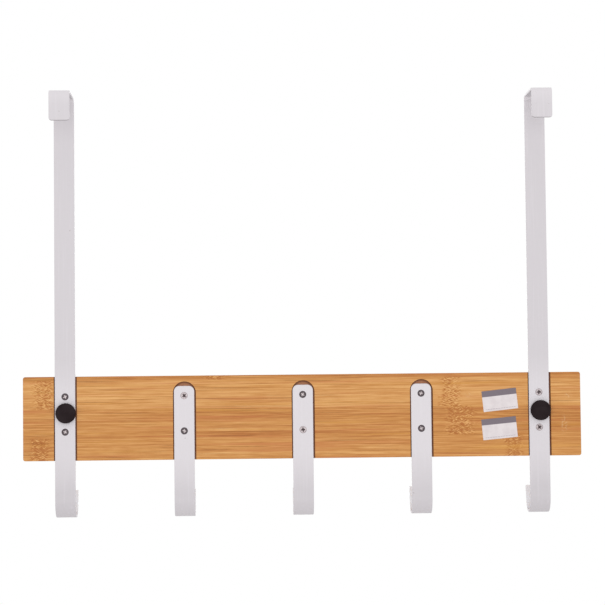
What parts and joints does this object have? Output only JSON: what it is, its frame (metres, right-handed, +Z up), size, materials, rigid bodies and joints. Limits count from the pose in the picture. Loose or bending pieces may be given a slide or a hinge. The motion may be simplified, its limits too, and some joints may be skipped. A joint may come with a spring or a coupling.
{
  "type": "over door hook rack",
  "caption": "Bamboo coat rack with flat steel J hooks, hung over a door's top edge by two bent straps.",
  "frame": {"origin": "on the door's top edge midway between the two straps, where the straps' door-side face meets the underside of their top runs", "axes": "+Z up, +Y into the door, -Y into the room, +X along the board to its right end as seen from the room"},
  "size_m": [0.5, 0.0786, 0.377],
  "materials": {
    "bamboo": "clear satin lacquer on laminated bamboo strips",
    "white_coating": "smooth white powder coating on bent steel strip",
    "zinc_steel": "zinc plated countersunk screws",
    "black_rubber": "matte black",
    "paper": "blank paper sticker, matte"
  },
  "bodies": {
    "root": {"bamboo_board": "bamboo", "left_over_door_strap": "white_coating", "right_over_door_strap": "white_coating", "left_hook": "white_coating", "middle_hook": "white_coating", "right_hook": "white_coating", "wood_screws": "zinc_steel", "left_bumper": "black_rubber", "right_bumper": "black_rubber", "upper_label": "paper", "lower_label": "paper"}
  },
  "joints": []
}
